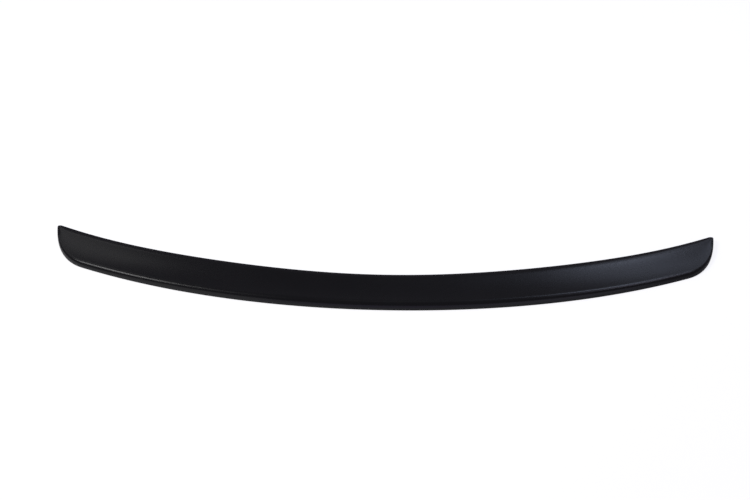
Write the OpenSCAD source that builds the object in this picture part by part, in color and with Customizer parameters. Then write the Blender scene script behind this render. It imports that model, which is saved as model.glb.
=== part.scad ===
// Boot lid lip spoiler: one thin moulding that is bonded along the rear edge of a saloon's boot lid.
// The rear edge's centre is the start of the plan, x runs across the car, y towards its front, z up.
// A section starts at its foot, on the lid: d is the distance forward, and heights are above the lid.

/* [Plan shape] */
// Overall width across the car
span = 1220; // [900:10:1400]
// How far the rear edge sweeps forward by its ends, as a parabola
bow_depth = 102; // [40:1:150]
// Further sweep that gathers towards the tips
tip_sweep = 17; // [0:1:40]
// Depth from the rear edge to the front edge at the middle
lip_depth = 79.5; // [60:0.5:110]
// Added depth half way to each end, where the strip is widest
swell = 3.5; // [0:0.5:8]

/* [Ends] */
// Length of each end, where the rear edge turns forward into the side
corner_run = 65; // [45:1:110]
// Angle by which the side edge leans outwards towards its tip
side_lean = 9.5; // [4:0.5:18]
// Radius of the tip, seen from above
tip_r = 5.5; // [2:0.5:8]

/* [Section] */
// Angle at which the lid's surface rises towards the front of the car
lid_angle = 5.7; // [0:0.1:8]
// Height of the crest at the middle
crest_mid = 12; // [9:0.5:20]
// Height of the crest where the corners start
crest_corner = 9.5; // [7:0.5:16]
// Height of the sides where they meet the tips
crest_side = 5; // [4.5:0.5:9]
// Radius of the crest at the middle; it shrinks with the crest's height
crest_r = 8.5; // [4:0.5:11]
// Slope of the rear face where it meets the crest
rear_slope = 62; // [50:1:75]
// Share of the rear face's height over which it bends forward, above its upright foot
rear_bend = 0.65; // [0.3:0.05:0.8]
// Slope of the top where it reaches the side's upright edge
side_slope = 30; // [15:1:45]
// Share of the side's height over which its edge is rounded
side_bend = 0.15; // [0.05:0.05:0.5]
// Thickness of the front part of the strip
front_t = 4; // [3.5:0.25:5]
// Distance over which the top rolls off to the front edge
front_roll = 14; // [6:0.5:20]
// Thickness of the front edge itself
front_edge = 1; // [0.5:0.1:2]

/* [Moulding] */
// Thickness of the rear wall at its top
wall = 2.5; // [2:0.25:4]
// Thickness of the skin over the hollow
skin = 3; // [2:0.25:3.25]
// Width of the land that is bonded along the front edge
land = 24; // [16:1:35]
// Width at which the narrowing hollow ends, in each corner
hollow_end = 8; // [5:0.5:20]
// Pairs of ribs across the hollow, beside the one at the middle
rib_pairs = 6; // [3:1:8]
// Distance from the last rib to the start of the corner
rib_inset = 25; // [15:1:80]
// Thickness of a rib where it joins the skin
rib_root = 2.4; // [2:0.1:3]
// Thickness of a rib at its free edge
rib_tip = 1.6; // [1:0.1:1.8]
// Gap that the ribs and the solid ends leave above the lid
rib_clear = 1; // [0.5:0.1:2]

/* [Hidden] */

// Steps from rib to rib, from the last rib to the corner, along a corner and round a tip
bay_steps = 3;
last_bay_steps = 2;
corner_steps = 14;
tip_steps = 3;
// Steps along the rear face, the crest, the ramp and the front roll in each section
rear_steps = 6;
crest_steps = 5;
ramp_steps = 7;
roll_steps = 6;
// Steps up the inside of the rear wall, and the underside's points at the foot and the front land
wall_steps = 2;
land_points = 3;
// Least length of ramp between the crest and the front roll
ramp_min = 4;
// Share of the tip's arc that is walked before its last face
tip_share = 0.8;
// Half the step over which a curve's slope is taken
nudge = 0.5;

half = span / 2;
lid_rise = tan(lid_angle);

// Plan curves of the rear and front edges
function bow(x) = bow_depth * pow(x / half, 2) + tip_sweep * pow(x / half, 4);
function front(x) = bow(x) + lip_depth + swell * pow(sin(180 * x / half), 2);
function bow_grade(x) = (bow(x + nudge) - bow(x - nudge)) / (2 * nudge);
function front_grade(x) = (front(x + nudge) - front(x - nudge)) / (2 * nudge);
function lid(p) = lid_rise * (p.y - bow(p.x));

// Round tip: its circle touches the front edge and reaches the overall width
tip_grade = front_grade(half - tip_r);
tip_centre = [half - tip_r, front(half - tip_r) - tip_r * sqrt(1 + tip_grade * tip_grade)];
side_turn = -side_lean;
front_turn = 90 + atan(tip_grade);
middle_turn = (side_turn + front_turn) / 2;
plan_depth = tip_centre.y + tip_r;
function on_tip(turn) = tip_centre + tip_r * [cos(turn), sin(turn)];

// Corner: one curve from the rear edge to the side, whose handle lies on both tangents
corner_start = [half - corner_run, bow(half - corner_run)];
corner_end = on_tip(side_turn);
corner_grade = bow_grade(corner_start.x);
corner_gap = corner_end - corner_start;
side_reach = (corner_gap.y - corner_grade * corner_gap.x)
    / (cos(side_lean) - corner_grade * sin(side_lean));
corner_handle = corner_end - side_reach * [sin(side_lean), cos(side_lean)];
function corner(b) = pow(1 - b, 2) * corner_start + 2 * b * (1 - b) * corner_handle
    + b * b * corner_end;

// The front edge keeps pace with the corner: straight ahead at its start, level with it at the tip
front_run = on_tip(front_turn).x - corner_start.x;
pace_start = 2 * (corner_handle.x - corner_start.x) / front_run;
pace_end = 2 * side_reach / (front_run * sqrt(1 + tip_grade * tip_grade));
function pace(b) = (pace_start + pace_end - 2) * pow(b, 3)
    + (3 - 2 * pace_start - pace_end) * pow(b, 2) + pace_start * b;

// Form of a section: the crest's height, the slope of the rear face there, and the share of the rear
// face that bends; it goes from the middle's form to the side's as t goes from 0 to 1
function between(from, to, t) = from + (to - from) * t;
function form(crest, t) =
    [crest, between(rear_slope, side_slope, t), between(rear_bend, side_bend, t)];

// Stations of the right half: the foot's point, the front edge's point, the form, and whether the
// hollow is open there, as it is between the ribs
function middle_form(x) = form(between(crest_mid, crest_corner, pow(x / corner_start.x, 2)), 0);
function corner_form(b) =
    let (t = b * b * (3 - 2 * b))
    form(between(crest_corner, crest_side, t), t);
function middle_station(x, open) = [[x, bow(x)], [x, front(x)], middle_form(x), open];
function rib_stations(x) = [
    middle_station(x - rib_root / 2, true),
    middle_station(x - rib_tip / 2, false),
    middle_station(x + rib_tip / 2, false),
    middle_station(x + rib_root / 2, true)
];
function bay_stations(from, to, steps) =
    [for (i = [1 : steps - 1]) middle_station(from + (to - from) * i / steps, true)];
function corner_station(b) =
    let (
        x = corner_start.x + front_run * pace(b),
        s = [corner(b), [x, front(x)], corner_form(b)]
    )
    [s[0], s[1], s[2], hollow_width(section_length(s), s[2]) >= hollow_end];
function tip_station(w) = [
    on_tip(side_turn + (middle_turn - side_turn) * w),
    on_tip(front_turn + (middle_turn - front_turn) * w),
    corner_form(1),
    false
];
last_rib = corner_start.x - rib_inset;
rib_pitch = last_rib / rib_pairs;
right_stations = concat(
    [middle_station(rib_tip / 2, false), middle_station(rib_root / 2, true)],
    [
        for (i = [1 : rib_pairs])
            each concat(
                bay_stations(
                    rib_pitch * (i - 1) + rib_root / 2,
                    rib_pitch * i - rib_root / 2,
                    bay_steps
                ),
                rib_stations(rib_pitch * i)
            )
    ],
    bay_stations(last_rib + rib_root / 2, corner_start.x, last_bay_steps),
    [for (i = [0 : corner_steps]) corner_station(i / corner_steps)],
    [for (i = [1 : tip_steps]) tip_station(tip_share * i / tip_steps)]
);
function mirrored(s) = [[-s[0].x, s[0].y], [-s[1].x, s[1].y], s[2], s[3]];
stations = concat(
    [for (i = [len(right_stations) - 1 : -1 : 0]) mirrored(right_stations[i])],
    right_stations
);

// Rear face: its height up to the crest, how far it leans forward there, and where the crest stands
function crest_radius(f) = crest_r * f[0] / crest_mid;
function rear_height(top, r, slope) = top - r + r * cos(slope);
function rear_lean(f) = f[2] * rear_height(f[0], crest_radius(f), f[1]) / tan(f[1]);
function crest_place(f) = rear_lean(f) + crest_radius(f) * sin(f[1]);

// Ramp of a section: where it starts and ends, how far it drops, and the slope at the crest
function section_length(s) = norm(s[1] - s[0]);
function slope_turn(drop, run) = atan(2 * drop / run);
function ramp(crest_at, r, top, front, ramp_end) =
    let (
        run = ramp_end - crest_at,
        first_turn = slope_turn(top - front, run),
        turn = slope_turn(top - r + r * cos(first_turn) - front, run - r * sin(first_turn))
    )
    [crest_at + r * sin(turn), ramp_end, top - r + r * cos(turn) - front, turn];
function ramp_height(ramp, front, q) = front + ramp[2] * pow(1 - q, 2);

// Outside of a section from the foot to the top of the front edge, as
// [distance from the foot, height above the lid]; where a section is too short it shrinks
function outside(length, f) =
    let (
        k = min(1, length / (crest_place(f) + crest_radius(f) + front_roll + ramp_min)),
        round_k = sqrt(k * (2 - k)),
        crest_at = crest_place(f) * k,
        lean = rear_lean(f) * k,
        r = crest_radius(f) * k,
        roll = front_roll * k,
        front = between(front_edge, front_t, round_k),
        top = between(front_edge, f[0], round_k),
        slope = ramp(crest_at, r, top, front, length - roll),
        rear = rear_height(top, r, f[1])
    )
    concat(
        [for (i = [1 : rear_steps])
            let (q = i / rear_steps)
            [lean * q * q, rear * (2 * q * (1 - q) * (1 - f[2]) + q * q)]],
        [for (i = [1 : crest_steps])
            let (a = 90 + f[1] - (f[1] + slope[3]) * i / crest_steps)
            [crest_at + r * cos(a), top - r + r * sin(a)]],
        [for (i = [1 : ramp_steps])
            let (q = i / ramp_steps)
            [slope[0] + (slope[1] - slope[0]) * q, ramp_height(slope, front, q)]],
        [for (i = [1 : roll_steps])
            let (q = i / roll_steps)
            [length - roll * (1 - q), between(front, front_edge, q * q)]]
    );

// Height of the outside over the hollow, where a section has its full length
function crest_height(f, d) =
    let (r = crest_radius(f))
    f[0] - r + sqrt(r * r - pow(d - crest_place(f), 2));
function roof(length, f, d) =
    let (slope = ramp(crest_place(f), crest_radius(f), f[0], front_t, length - front_roll))
    d < slope[0]
        ? crest_height(f, d)
        : ramp_height(slope, front_t, min(1, (d - slope[0]) / (slope[1] - slope[0])));

// Underside of a section from the foot to the front edge, with as many points as the outside:
// the rear wall's land, its inside, the ceiling, and the front land
function back_land(f) = rear_lean(f) + wall;
function hollow_width(length, f) = length - back_land(f) - land;
ceiling_steps = rear_steps + crest_steps + ramp_steps + roll_steps - wall_steps - land_points - 1;
function underside(length, f, open) =
    let (
        k = min(1, length / (back_land(f) + hollow_end + land)),
        back = back_land(f) * k,
        width = length - back - land * k,
        ceiling = [
            for (i = [0 : ceiling_steps])
                let (d = back + width * i / ceiling_steps)
                [d, open ? max(rib_clear, roof(length, f, d) - skin) : rib_clear * k]
        ]
    )
    concat(
        [[0, 0]],
        [for (i = [0 : wall_steps - 1]) [back, ceiling[0].y * i / wall_steps]],
        ceiling,
        [[back + width, 0], [length, 0]]
    );

// Ring of a station: the outside's points forward, then the underside's points back
function in_space(s, p) =
    let (at = s[0] + p.x * (s[1] - s[0]) / section_length(s))
    [at.x, at.y, lid(at) + p.y];
function ring(s) =
    let (
        length = section_length(s),
        below = underside(length, s[2], s[3])
    )
    [
        for (p = outside(length, s[2])) in_space(s, p),
        for (i = [len(below) - 1 : -1 : 0]) in_space(s, below[i])
    ];

// Skin between the rings, closed at each tip by strips from the outside to the underside
module spoiler() {
    rings = [for (s = stations) ring(s)];
    n = len(rings[0]);
    last = n * (len(rings) - 1);
    skins = [
        for (i = [0 : n : last - n], j = [0 : n - 1])
            let (a = i + j, b = i + (j + 1) % n)
            each [[a, b, b + n], [a, b + n, a + n]]
    ];
    caps = [
        for (i = [0 : n / 2 - 2])
            let (a = i, b = i + 1, c = n - 2 - i, d = n - 1 - i)
            each [
                [a, c, b], [a, d, c],
                [last + a, last + b, last + c], [last + a, last + c, last + d]
            ]
    ];
    color([0.11, 0.11, 0.12])
        translate([0, -plan_depth / 2, 0])
        polyhedron(points = [for (r = rings) each r], faces = concat(skins, caps));
}

spoiler();
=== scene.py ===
from math import atan, cos, hypot, pi, radians, sin, sqrt, tan

import bmesh
import bpy
from mathutils import Matrix, Vector


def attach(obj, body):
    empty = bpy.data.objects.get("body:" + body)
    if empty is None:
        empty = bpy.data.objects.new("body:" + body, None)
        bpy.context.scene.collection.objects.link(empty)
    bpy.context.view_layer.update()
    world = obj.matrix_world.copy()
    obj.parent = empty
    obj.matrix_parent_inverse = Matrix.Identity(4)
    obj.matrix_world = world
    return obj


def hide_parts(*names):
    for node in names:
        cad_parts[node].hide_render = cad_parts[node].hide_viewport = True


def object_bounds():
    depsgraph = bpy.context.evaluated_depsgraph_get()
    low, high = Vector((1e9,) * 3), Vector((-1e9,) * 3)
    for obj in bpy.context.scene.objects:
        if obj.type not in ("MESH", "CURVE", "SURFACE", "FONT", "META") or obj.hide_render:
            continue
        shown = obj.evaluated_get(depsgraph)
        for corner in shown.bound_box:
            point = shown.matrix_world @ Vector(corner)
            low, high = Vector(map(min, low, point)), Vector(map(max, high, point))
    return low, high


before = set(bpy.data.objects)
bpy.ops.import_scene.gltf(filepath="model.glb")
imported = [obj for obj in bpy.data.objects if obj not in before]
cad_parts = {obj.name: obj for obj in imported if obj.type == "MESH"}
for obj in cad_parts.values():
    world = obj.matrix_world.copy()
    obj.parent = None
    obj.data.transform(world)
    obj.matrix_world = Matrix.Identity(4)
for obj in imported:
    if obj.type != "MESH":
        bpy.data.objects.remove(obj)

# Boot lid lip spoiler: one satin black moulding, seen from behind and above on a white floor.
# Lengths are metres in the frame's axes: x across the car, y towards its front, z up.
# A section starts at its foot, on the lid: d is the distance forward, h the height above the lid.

CAD_LOW, CAD_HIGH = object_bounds()
MM = 0.001

# Plan shape: the rear edge sweeps forward in a bow and by more near the tips, and a swell makes the
# lip deeper at the quarters
HALF_SPAN = CAD_HIGH.x
BOW_DEPTH = 102 * MM
TIP_SWEEP = 17 * MM
LIP_DEPTH = 79.5 * MM
SWELL = 3.5 * MM

# Ends: length of the corner along x, lean of the side edge from straight ahead, and the round tip
CORNER_RUN = 65 * MM
SIDE_LEAN = radians(9.5)
TIP_RADIUS = 5.5 * MM
# Share of the tip's arc that is walked before its last face
TIP_SHARE = 0.97

# Section: the lid's slope under it, and the crest's height in the middle, at the corners and along
# the sides
LID_RISE = tan(radians(5.7))
CREST_MIDDLE = 12 * MM
CREST_CORNER = 9.5 * MM
CREST_SIDE = 5 * MM
# Radius of the crest at the middle; it shrinks with the crest's height
CREST_RADIUS = 8.5 * MM
# Rear face in the middle and along the sides: its slope where it meets the crest's turn, and the
# share of its height that bends
MIDDLE_FACE = (radians(62), 0.65)
SIDE_FACE = (radians(30), 0.15)
# Front: its height where it starts to roll off, the roll's length, and the height of its edge
FRONT = 4 * MM
FRONT_ROLL = 14 * MM
FRONT_EDGE = 1 * MM
# Shortest ramp, below which the whole section shrinks
RAMP_MIN = 4 * MM

# Underside: rear wall, skin over the hollow, bonding land at the front, and the narrowest hollow
WALL = 2.5 * MM
SKIN = 3 * MM
FRONT_LAND = 24 * MM
HOLLOW_END = 8 * MM
# Length over which the hollow's last wall rises
END_WALL = 1 * MM
# Ribs: pairs beside the middle one, distance of the last from the corner, clearance above the lid
RIB_PAIRS = 6
RIB_INSET = 25 * MM
RIB_CLEAR = 1 * MM
# Half of a rib: millimetres from its middle, and how far the ceiling is open there
RIB_HALF = ((0.5, 0), (0.75, 0.02), (0.85, 0.06), (1.1, 0.8), (1.25, 0.93), (1.6, 0.99), (2.2, 1))
# Radius of the small edges, and of the fillet in the hollow's corners
EDGE_RADIUS = 0.3 * MM
FILLET = 1.2 * MM

# Steps of the mesh
BAY_STEPS = 10
LAST_BAY_STEPS = 3
CORNER_STEPS = 44
TIP_STEPS = 12
EDGE_STEPS = 3
REAR_STEPS = 12
CREST_STEPS = 14
RAMP_STEPS = 18
ROLL_STEPS = 12
LAND_STEPS = 3
CEILING_STEPS = 16
FILLET_STEPS = 4
SHARP_ANGLE = radians(35)
MERGE = 1e-6

OUTSIDE, UNDERSIDE = 0, 1

# Plastic: the shades and roughnesses between which its mottle varies, and the height and fineness of
# its grain, in metres and in grains per metre
FACE = {
    "dark": (0.005, 0.005, 0.006),
    "pale": (0.007, 0.007, 0.0085),
    "roughness": (0.25, 0.29),
    "grain_height": 8e-6,
    "fineness": 2400,
}
BARE = {
    "dark": (0.009, 0.009, 0.01),
    "pale": (0.014, 0.014, 0.015),
    "roughness": (0.45, 0.6),
    "grain_height": 2e-5,
    "fineness": 1300,
}
IOR = 1.5
# Coarse grain: its fineness, as a share of the fine grain's, and its share of the height
COARSE_FINENESS = 0.22
COARSE_SHARE = 0.3
# Mottle: broad patches per metre, small patches to a broad one, their share, and the middle of the
# two noises that is stretched to the whole mask
BROAD_PATCHES = 9
SMALL_PATCHES = 14
SMALL_SHARE = 0.35
MOTTLE_LOW, MOTTLE_HIGH = 0.3, 0.7

# Camera, with its lens and sensor in millimetres and its angles in degrees
CAMERA_AIM = Vector((-0.0189, 0.0555, 0))
CAMERA_DISTANCE = 1.917
CAMERA_AZIMUTH = 180
CAMERA_ELEVATION = 42.85
CAMERA_ROLL = 1.04
CAMERA_LENS = 50
CAMERA_SENSOR = 36

# Studio
FLOOR_RADIUS = 30
FLOOR_SIDES = 96
PAPER = (0.8, 0.8, 0.8)
# What the floor adds to its lit white as the camera sees it, and the painted light that only
# reflections see on it at the part's left end; that painted light fades out towards the right end
FLOOR_GLOW = 0.76
FLOOR_PAINTED_LIGHT = 0.41
# The world's dim light, and how white it looks behind the floor's edge
WORLD_LIGHT = (0.12, 0.115, 0.135)
WORLD_WHITE = 0.86
NEUTRAL = (1, 1, 1)
COOL = (0.84, 0.94, 1.22)
MILD = (0.92, 0.9, 1.18)
VIOLET = (0.88, 0.78, 1.34)
# Softboxes: azimuth and elevation in degrees, width, height, radiance, colour
SOFTBOXES = {
    "left_key": (-97, 49, 0.95, 0.6, 5.4, NEUTRAL),
    "left_front": (-41, 39, 0.72, 0.45, 0.7, NEUTRAL),
    "right_front": (33, 39, 0.42, 0.75, 0.92, COOL),
    "right_key": (46, 51, 0.45, 0.42, 4.7, COOL),
    "right_side": (84, 53, 1.15, 0.42, 1.65, MILD),
    "overhead": (0, 74, 0.45, 1.2, 0.12, NEUTRAL),
    "rear_left": (-145, 8, 1.3, 0.8, 0.41, NEUTRAL),
    "rear_middle": (180, 8, 1.5, 0.8, 0.24, VIOLET),
    "rear_right": (145, 8, 1.3, 0.8, 0.41, MILD),
}
# How far the softboxes stand from the middle of the part
LAMP_DISTANCE = 2.4


def plan(x, y):
    """A point seen from above."""
    return Vector((x, y))


def bow(x):
    """Sweep of the rear edge."""
    s = x / HALF_SPAN
    return BOW_DEPTH * s**2 + TIP_SWEEP * s**4


def front(x):
    """Sweep of the front edge."""
    return bow(x) + LIP_DEPTH + SWELL * sin(pi * x / HALF_SPAN) ** 2


def grade(curve, x):
    """Slope of an edge's curve at x, seen from above."""
    nudge = 0.5 * MM
    return (curve(x + nudge) - curve(x - nudge)) / (2 * nudge)


# Round tip, whose circle touches the front edge and reaches the overall width
tip_x = HALF_SPAN - TIP_RADIUS
tip_grade = grade(front, tip_x)
tip_centre = plan(tip_x, front(tip_x) - TIP_RADIUS * hypot(1, tip_grade))
side_turn = -SIDE_LEAN
front_turn = pi / 2 + atan(tip_grade)
middle_turn = (side_turn + front_turn) / 2
PLAN_DEPTH = tip_centre.y + TIP_RADIUS


def on_tip(turn):
    """Point of the tip's circle; turn 0 looks along x."""
    return tip_centre + TIP_RADIUS * plan(cos(turn), sin(turn))


# Corner: one curve from the rear edge to the side, whose handle lies on both tangents
corner_x = HALF_SPAN - CORNER_RUN
corner_start = plan(corner_x, bow(corner_x))
corner_end = on_tip(side_turn)
corner_grade = grade(bow, corner_x)
corner_gap = corner_end - corner_start
side_reach = (corner_gap.y - corner_grade * corner_gap.x) / (
    cos(SIDE_LEAN) - corner_grade * sin(SIDE_LEAN)
)
corner_handle = corner_end - side_reach * plan(sin(SIDE_LEAN), cos(SIDE_LEAN))

# The front edge keeps pace with the corner: straight ahead at its start, level with it at the tip
front_run = on_tip(front_turn).x - corner_x
pace_start = 2 * (corner_handle.x - corner_x) / front_run
pace_end = 2 * side_reach / (front_run * hypot(1, tip_grade))


def corner(b):
    """Point of the corner's curve; b goes from 0 at the rear edge to 1 at the tip."""
    return (1 - b) ** 2 * corner_start + 2 * b * (1 - b) * corner_handle + b * b * corner_end


def pace(b):
    """Share of its run that the front edge has covered when the corner is at b."""
    cubic = pace_start + pace_end - 2
    return cubic * b**3 + (3 - 2 * pace_start - pace_end) * b**2 + pace_start * b


class Form:
    """A section's crest height and its rear face; share goes from 0 in the middle to 1 at the side."""

    def __init__(self, crest, share):
        self.crest = crest
        self.slope, self.bent = (a + (b - a) * share for a, b in zip(MIDDLE_FACE, SIDE_FACE))
        self.radius = CREST_RADIUS * crest / CREST_MIDDLE
        self.lean = self.bent * self.rear_height(crest, self.radius) / tan(self.slope)
        self.crest_at = self.lean + self.radius * sin(self.slope)

    def rear_height(self, top, radius):
        """Height of the rear face up to the crest's turn."""
        return top - radius + radius * cos(self.slope)


class Station:
    """A section's place and form; its hollow goes from closed at openness 0 to open at 1."""

    def __init__(self, foot, front, form, openness):
        self.foot, self.front, self.form, self.openness = foot, front, form, openness
        self.length = (front - foot).length

    def in_space(self, d, h):
        """A point of the section in the frame's axes."""
        at = self.foot + (self.front - self.foot) * d / self.length
        return Vector((at.x, at.y - PLAN_DEPTH / 2, LID_RISE * (at.y - bow(at.x)) + h))


def middle_station(x, openness):
    """Station between the corners."""
    crest = CREST_MIDDLE + (CREST_CORNER - CREST_MIDDLE) * (x / corner_x) ** 2
    return Station(plan(x, bow(x)), plan(x, front(x)), Form(crest, 0), openness)


def corner_station(b):
    """Station round the corner, where the hollow ends as soon as it has no room."""
    share = b * b * (3 - 2 * b)
    form = Form(CREST_CORNER + (CREST_SIDE - CREST_CORNER) * share, share)
    x = corner_x + front_run * pace(b)
    station = Station(corner(b), plan(x, front(x)), form, 1)
    spare = station.length - form.lean - WALL - FRONT_LAND - HOLLOW_END
    station.openness = min(1, max(0, spare / END_WALL))
    return station


def tip_station(w):
    """Station across the round tip; w goes from 0 at its ends to 1 where they meet."""
    side = on_tip(side_turn + (middle_turn - side_turn) * w)
    ahead = on_tip(front_turn + (middle_turn - front_turn) * w)
    return Station(side, ahead, Form(CREST_SIDE, 1), 0)


def right_stations():
    """Stations from the middle of the part, in its middle rib, to the right tip."""
    last_rib = corner_x - RIB_INSET
    pitch = last_rib / RIB_PAIRS
    half = [(offset * MM, openness) for offset, openness in RIB_HALF]
    reach = half[-1][0]
    stations = [middle_station(0, 0)]
    stations += [middle_station(offset, openness) for offset, openness in half]
    for i in range(1, RIB_PAIRS + 1):
        rib = pitch * i
        start = rib - pitch + reach
        bay = pitch - 2 * reach
        stations += [middle_station(start + bay * k / BAY_STEPS, 1) for k in range(1, BAY_STEPS)]
        stations += [middle_station(rib - offset, openness) for offset, openness in half[::-1]]
        stations += [middle_station(rib + offset, openness) for offset, openness in half]
    start = last_rib + reach
    bay = corner_x - start
    stations += [middle_station(start + bay * k / LAST_BAY_STEPS, 1) for k in range(1, LAST_BAY_STEPS)]
    stations += [corner_station(k / CORNER_STEPS) for k in range(CORNER_STEPS + 1)]
    stations += [tip_station(TIP_SHARE * k / TIP_STEPS) for k in range(1, TIP_STEPS + 1)]
    return stations


def arc(centre, radii, start, end, steps):
    """Points of an arc, from just after its start, in a section's d and h."""
    turns = [start + (end - start) * k / steps for k in range(1, steps + 1)]
    return [(centre[0] + radii[0] * cos(a), centre[1] + radii[1] * sin(a)) for a in turns]


def bend(start, handle, end, steps):
    """Points of a curve that leaves start and reaches end along its handle."""
    shares = [k / steps for k in range(1, steps + 1)]
    return [
        tuple((1 - s) ** 2 * start[i] + 2 * s * (1 - s) * handle[i] + s * s * end[i] for i in (0, 1))
        for s in shares
    ]


def line(start, end, steps):
    """Points of a straight line, from just after its start."""
    shares = [k / steps for k in range(1, steps + 1)]
    return [(start[0] + (end[0] - start[0]) * s, start[1] + (end[1] - start[1]) * s) for s in shares]


class Ramp:
    """The hollow slope between the crest's arc and the front roll."""

    def __init__(self, crest_at, radius, top, front, end):
        # The arc ends where it slopes as the ramp does: a first guess, then one step closer
        run = end - crest_at
        first_turn = atan(2 * (top - front) / run)
        rise = top - radius + radius * cos(first_turn) - front
        self.turn = atan(2 * rise / (run - radius * sin(first_turn)))
        self.start = crest_at + radius * sin(self.turn)
        self.end = end
        self.front = front
        self.drop = top - radius + radius * cos(self.turn) - front

    def height(self, q):
        """Height of the slope; q goes from 0 at its start to 1 at its end."""
        return self.front + self.drop * (1 - q) ** 2


def outer_profile(length, form):
    """Outside of a section, from the base of its foot to the base of its front edge."""
    # A short section shrinks lengthwise by one share, and in height along a quarter circle
    shrink = min(1, length / (form.crest_at + form.radius + FRONT_ROLL + RAMP_MIN))
    fall = sqrt(shrink * (2 - shrink))
    crest_at, lean, radius = form.crest_at * shrink, form.lean * shrink, form.radius * shrink
    roll, edge = FRONT_ROLL * shrink, EDGE_RADIUS * shrink
    thick = FRONT_EDGE + (FRONT - FRONT_EDGE) * fall
    top = FRONT_EDGE + (form.crest - FRONT_EDGE) * fall
    ramp = Ramp(crest_at, radius, top, thick, length - roll)
    rear_top = form.rear_height(top, radius)
    handle = rear_top * (1 - form.bent)
    turn_start, turn_end = pi / 2 + form.slope, pi / 2 - ramp.turn
    points = [(edge, 0)]
    points += arc((edge, edge), (edge, edge), 1.5 * pi, pi, EDGE_STEPS)
    points += bend((0, edge), (0, handle), (lean, rear_top), REAR_STEPS)
    points += arc((crest_at, top - radius), (radius, radius), turn_start, turn_end, CREST_STEPS)
    for k in range(1, RAMP_STEPS + 1):
        q = k / RAMP_STEPS
        points.append((ramp.start + (ramp.end - ramp.start) * q, ramp.height(q)))
    for k in range(1, ROLL_STEPS + 1):
        q = k / ROLL_STEPS
        points.append((ramp.end + roll * q, thick + (FRONT_EDGE - thick) * q * q))
    points += arc((length - edge, edge), (edge, edge), 0, -pi / 2, EDGE_STEPS)
    return points


def under_profile(length, form, openness):
    """Underside of a section, from the base of its front edge back to the base of its foot."""
    back_land = form.lean + WALL
    shrink = min(1, length / (back_land + HOLLOW_END + FRONT_LAND))
    edge = EDGE_RADIUS * shrink
    low, high = back_land * shrink, length - FRONT_LAND * shrink
    closed = RIB_CLEAR * shrink
    ramp = Ramp(form.crest_at, form.radius, form.crest, FRONT, length - FRONT_ROLL)

    def ceiling(d):
        """Height of the hollow's roof; where it is open, it lies a skin below the outside."""
        if openness == 0:
            return closed
        if d < ramp.start:
            roof = form.crest - form.radius + sqrt(form.radius**2 - (d - form.crest_at) ** 2)
        else:
            roof = ramp.height(min(1, (d - ramp.start) / (ramp.end - ramp.start)))
        open_height = max(RIB_CLEAR, roof - SKIN)
        return closed + (open_height - closed) * openness

    fillet = min(FILLET, (ceiling(low) - edge) / 2) if openness else edge
    corner_height = ceiling(low + fillet) - fillet
    points = line((length - edge, 0), (high + edge, 0), LAND_STEPS)
    points += arc((high + edge, edge), (edge, edge), 1.5 * pi, pi, EDGE_STEPS)
    points += [(high, ceiling(high))]
    for k in range(1, CEILING_STEPS + 1):
        d = high + (low + fillet - high) * k / CEILING_STEPS
        points.append((d, ceiling(d)))
    points += arc((low + fillet, corner_height), (fillet, fillet), pi / 2, pi, FILLET_STEPS)
    points += line((low, corner_height), (low, edge), LAND_STEPS)
    points += arc((low - edge, edge), (edge, edge), 0, -pi / 2, EDGE_STEPS)
    points += line((low - edge, 0), (edge, 0), LAND_STEPS)[:-1]
    return points


def loft(bm, stations):
    """Draw the first section and extrude it from station to station; returns the last one's edges."""
    rings, outer = [], 0
    for s in stations:
        outside = outer_profile(s.length, s.form)
        outer = len(outside)
        rings.append([s.in_space(*p) for p in outside + under_profile(s.length, s.form, s.openness)])
    loop = [bm.verts.new(p) for p in rings[0]]
    edges = [bm.edges.new((loop[j - 1], loop[j])) for j in range(len(loop))]
    for ring in rings[1:]:
        made = bmesh.ops.extrude_edge_only(bm, edges=edges)["geom"]
        new = {v for v in made if isinstance(v, bmesh.types.BMVert)}
        ahead = []
        for vert, point in zip(loop, ring):
            partner = next(e.other_vert(vert) for e in vert.link_edges if e.other_vert(vert) in new)
            partner.co = point
            ahead.append(partner)
        for j, edge in enumerate(edges):
            skin = next(f for f in edge.link_faces if ahead[j] in f.verts)
            skin.material_index = OUTSIDE if 0 < j < outer else UNDERSIDE
        edges = [bm.edges.get((ahead[j - 1], ahead[j])) for j in range(len(ahead))]
        loop = ahead
    return edges


def seat_in_frame(bm):
    """Fit the shell to the frame's box, which its finer curves pass by a few hundredths of a mm."""
    low = Vector(min(v.co[i] for v in bm.verts) for i in range(3))
    high = Vector(max(v.co[i] for v in bm.verts) for i in range(3))
    size = high - low
    wanted = CAD_HIGH - CAD_LOW
    share = Vector((wanted.x / size.x, wanted.y / size.y, wanted.z / size.z))
    bmesh.ops.translate(bm, verts=bm.verts, vec=-low)
    bmesh.ops.scale(bm, verts=bm.verts, vec=share)
    bmesh.ops.translate(bm, verts=bm.verts, vec=CAD_LOW)


def make_shell():
    """The whole moulding: its right half lofted and closed at the tip, then mirrored."""
    bm = bmesh.new()
    last = loft(bm, right_stations())
    bmesh.ops.edgeloop_fill(bm, edges=last, mat_nr=OUTSIDE)
    half = bm.verts[:] + bm.edges[:] + bm.faces[:]
    bmesh.ops.mirror(bm, geom=half, axis="X", merge_dist=MERGE)
    bmesh.ops.remove_doubles(bm, verts=bm.verts, dist=MERGE)
    bmesh.ops.dissolve_degenerate(bm, edges=bm.edges, dist=MERGE)
    bmesh.ops.recalc_face_normals(bm, faces=bm.faces)
    for face in bm.faces:
        face.smooth = True
    seat_in_frame(bm)
    mesh = bpy.data.meshes.new("spoiler_shell")
    bm.to_mesh(mesh)
    bm.free()
    mesh.set_sharp_from_angle(angle=SHARP_ANGLE)
    shell = bpy.data.objects.new("spoiler_shell", mesh)
    bpy.context.scene.collection.objects.link(shell)
    return shell


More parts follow.
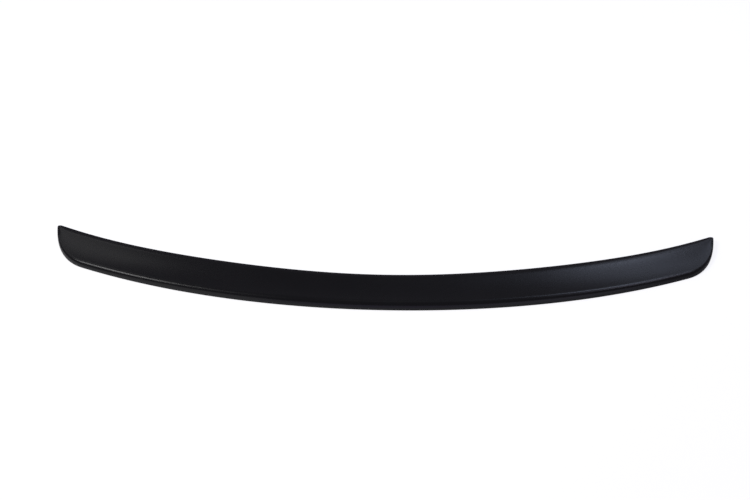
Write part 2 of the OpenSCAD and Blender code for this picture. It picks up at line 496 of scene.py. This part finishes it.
def new_group(name, inputs, outputs):
    """An empty shader node group; inputs are (name, default), outputs are names."""
    group = bpy.data.node_groups.new(name, "ShaderNodeTree")
    for socket, default in inputs:
        made = group.interface.new_socket(socket, in_out="INPUT", socket_type="NodeSocketFloat")
        made.default_value = default
    for socket in outputs:
        group.interface.new_socket(socket, in_out="OUTPUT", socket_type="NodeSocketFloat")
    return group


def add(tree, kind, **settings):
    """A new node; settings are its own properties, and an underscore name sets an input."""
    node = tree.nodes.new(kind)
    for name, value in settings.items():
        if name.startswith("_"):
            node.inputs[name[1:].replace("_", " ")].default_value = value
        else:
            setattr(node, name, value)
    return node


def noise(tree, point, scale, detail, roughness=0.5):
    node = add(tree, "ShaderNodeTexNoise", _Detail=detail, _Roughness=roughness)
    tree.links.new(point, node.inputs["Vector"])
    tree.links.new(scale, node.inputs["Scale"])
    return node.outputs["Fac"]


def math(tree, operation, a, b):
    """Output of a math node; a and b are numbers or outputs of other nodes."""
    node = add(tree, "ShaderNodeMath", operation=operation)
    for i, value in enumerate((a, b)):
        if isinstance(value, (int, float)):
            node.inputs[i].default_value = value
        else:
            tree.links.new(value, node.inputs[i])
    return node.outputs[0]


def mix_values(tree, a, b, share):
    """A mixture of two values; share is how much of b is in it."""
    return math(tree, "ADD", math(tree, "MULTIPLY", a, 1 - share), math(tree, "MULTIPLY", b, share))


def remap(tree, value, low, high, to_low, to_high):
    node = add(tree, "ShaderNodeMapRange", _From_Min=low, _From_Max=high, _To_Min=to_low, _To_Max=to_high)
    tree.links.new(value, node.inputs["Value"])
    return node.outputs["Result"]


def moulded_grain():
    """Spark-eroded grain of the mould, as a height from 0 to 1; Fineness is grains per metre."""
    group = new_group("moulded_grain", [("Fineness", FACE["fineness"])], ["Height"])
    fineness = add(group, "NodeGroupInput").outputs["Fineness"]
    out = add(group, "NodeGroupOutput")
    point = add(group, "ShaderNodeTexCoord").outputs["Object"]
    fine = noise(group, point, fineness, detail=2, roughness=0.6)
    coarse = noise(group, point, math(group, "MULTIPLY", fineness, COARSE_FINENESS), detail=1)
    group.links.new(mix_values(group, fine, coarse, COARSE_SHARE), out.inputs["Height"])
    return group


def flow_mottle():
    """Slow unevenness that the melt's flow leaves, as a mask from 0 to 1."""
    group = new_group("flow_mottle", [("Patches", BROAD_PATCHES)], ["Mask"])
    patches = add(group, "NodeGroupInput").outputs["Patches"]
    out = add(group, "NodeGroupOutput")
    point = add(group, "ShaderNodeTexCoord").outputs["Object"]
    broad = noise(group, point, patches, detail=2)
    small = noise(group, point, math(group, "MULTIPLY", patches, SMALL_PATCHES), detail=3)
    mixed = mix_values(group, broad, small, SMALL_SHARE)
    group.links.new(remap(group, mixed, MOTTLE_LOW, MOTTLE_HIGH, 0, 1), out.inputs["Mask"])
    return group


def satin_plastic(name, groups, dark, pale, roughness, grain_height, fineness):
    """Satin black plastic between two near shades, with the mould's grain."""
    material = bpy.data.materials.new(name)
    material.use_nodes = True
    tree = material.node_tree
    shader = tree.nodes["Principled BSDF"]
    mottle = add(tree, "ShaderNodeGroup", node_tree=groups["mottle"])
    grain = add(tree, "ShaderNodeGroup", node_tree=groups["grain"])
    grain.inputs["Fineness"].default_value = fineness
    shade = add(tree, "ShaderNodeMix", data_type="RGBA")
    shade.inputs["A"].default_value = (*dark, 1)
    shade.inputs["B"].default_value = (*pale, 1)
    tree.links.new(mottle.outputs["Mask"], shade.inputs["Factor"])
    tree.links.new(shade.outputs["Result"], shader.inputs["Base Color"])
    satin = remap(tree, mottle.outputs["Mask"], 0, 1, roughness[0], roughness[1])
    tree.links.new(satin, shader.inputs["Roughness"])
    bump = add(tree, "ShaderNodeBump", _Strength=1.0, _Distance=grain_height)
    tree.links.new(grain.outputs["Height"], bump.inputs["Height"])
    tree.links.new(bump.outputs["Normal"], shader.inputs["Normal"])
    shader.inputs["IOR"].default_value = IOR
    return material


def white_floor():
    """A floor that the camera sees as white and that keeps the part's shadow; reflections see it lit,
    with painted light added that is brightest at the part's left end.
    """
    bm = bmesh.new()
    bmesh.ops.create_circle(bm, cap_ends=True, segments=FLOOR_SIDES, radius=FLOOR_RADIUS)
    mesh = bpy.data.meshes.new("floor")
    bm.to_mesh(mesh)
    bm.free()
    floor = bpy.data.objects.new("floor", mesh)
    bpy.context.scene.collection.objects.link(floor)
    material = bpy.data.materials.new("white_paper")
    material.use_nodes = True
    tree = material.node_tree
    tree.nodes.clear()
    out = add(tree, "ShaderNodeOutputMaterial")
    matt = add(tree, "ShaderNodeBsdfDiffuse", _Color=(*PAPER, 1))
    glow = add(tree, "ShaderNodeEmission", _Color=(*NEUTRAL, 1))
    path = add(tree, "ShaderNodeLightPath")
    seen = math(tree, "MULTIPLY", path.outputs["Is Camera Ray"], FLOOR_GLOW)
    place = add(tree, "ShaderNodeSeparateXYZ")
    tree.links.new(add(tree, "ShaderNodeTexCoord").outputs["Object"], place.inputs[0])
    # Painted light: a glow that only reflections see, brightest at the part's left end and gone at its
    # right end
    painted_light = remap(tree, place.outputs["X"], -HALF_SPAN, HALF_SPAN, FLOOR_PAINTED_LIGHT, 0)
    mirrored = math(tree, "MAXIMUM", path.outputs["Is Glossy Ray"], path.outputs["Is Transmission Ray"])
    painted_reflection = math(tree, "MULTIPLY", mirrored, painted_light)
    tree.links.new(math(tree, "ADD", seen, painted_reflection), glow.inputs["Strength"])
    both = add(tree, "ShaderNodeAddShader")
    tree.links.new(matt.outputs[0], both.inputs[0])
    tree.links.new(glow.outputs[0], both.inputs[1])
    tree.links.new(both.outputs[0], out.inputs["Surface"])
    mesh.materials.append(material)


def direction(azimuth, elevation):
    """Unit vector; azimuth 0 is ahead along y and 90 along x, both in degrees."""
    a, e = radians(azimuth), radians(elevation)
    return Vector((sin(a) * cos(e), cos(a) * cos(e), sin(e)))


def softbox(name, azimuth, elevation, width, height, radiance, colour):
    """An area lamp that faces the middle of the part."""
    lamp = bpy.data.lights.new(name, "AREA")
    lamp.shape = "RECTANGLE"
    lamp.size, lamp.size_y = width, height
    lamp.energy = radiance * width * height * pi
    lamp.color = colour
    towards = direction(azimuth, elevation)
    facing = towards.to_track_quat("Z", "Y").to_matrix().to_4x4()
    box = bpy.data.objects.new(name, lamp)
    box.matrix_world = Matrix.Translation(towards * LAMP_DISTANCE) @ facing
    box.visible_camera = False
    bpy.context.scene.collection.objects.link(box)


def dim_world():
    """A world that lights and mirrors dimly, and that the camera and glass see as pale as the floor."""
    world = bpy.data.worlds.new("studio")
    world.use_nodes = True
    tree = world.node_tree
    tree.nodes.clear()
    out = add(tree, "ShaderNodeOutputWorld")
    dim = add(tree, "ShaderNodeBackground", _Color=(*WORLD_LIGHT, 1))
    white = add(tree, "ShaderNodeBackground", _Color=(*NEUTRAL, 1), _Strength=WORLD_WHITE)
    path = add(tree, "ShaderNodeLightPath")
    seen = math(tree, "MAXIMUM", path.outputs["Is Camera Ray"], path.outputs["Is Transmission Ray"])
    both = add(tree, "ShaderNodeMixShader")
    tree.links.new(seen, both.inputs[0])
    tree.links.new(dim.outputs[0], both.inputs[1])
    tree.links.new(white.outputs[0], both.inputs[2])
    tree.links.new(both.outputs[0], out.inputs["Surface"])
    bpy.context.scene.world = world


def photographer():
    """A camera that looks at the part as the photograph does."""
    back = direction(CAMERA_AZIMUTH, CAMERA_ELEVATION)
    data = bpy.data.cameras.new("camera")
    data.lens, data.sensor_width = CAMERA_LENS, CAMERA_SENSOR
    camera = bpy.data.objects.new("camera", data)
    turn = back.to_track_quat("Z", "Y").to_matrix() @ Matrix.Rotation(radians(CAMERA_ROLL), 3, "Z")
    camera.matrix_world = Matrix.Translation(CAMERA_AIM + back * CAMERA_DISTANCE) @ turn.to_4x4()
    bpy.context.scene.collection.objects.link(camera)
    bpy.context.scene.camera = camera


shell = make_shell()
groups = {"grain": moulded_grain(), "mottle": flow_mottle()}
shell.data.materials.append(satin_plastic("satin_face", groups, **FACE))
shell.data.materials.append(satin_plastic("bare_underside", groups, **BARE))
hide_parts("spoiler")
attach(shell, "root")

white_floor()
dim_world()
for name, settings in SOFTBOXES.items():
    softbox(name, *settings)
photographer()
bpy.context.scene.view_settings.view_transform = "Standard"
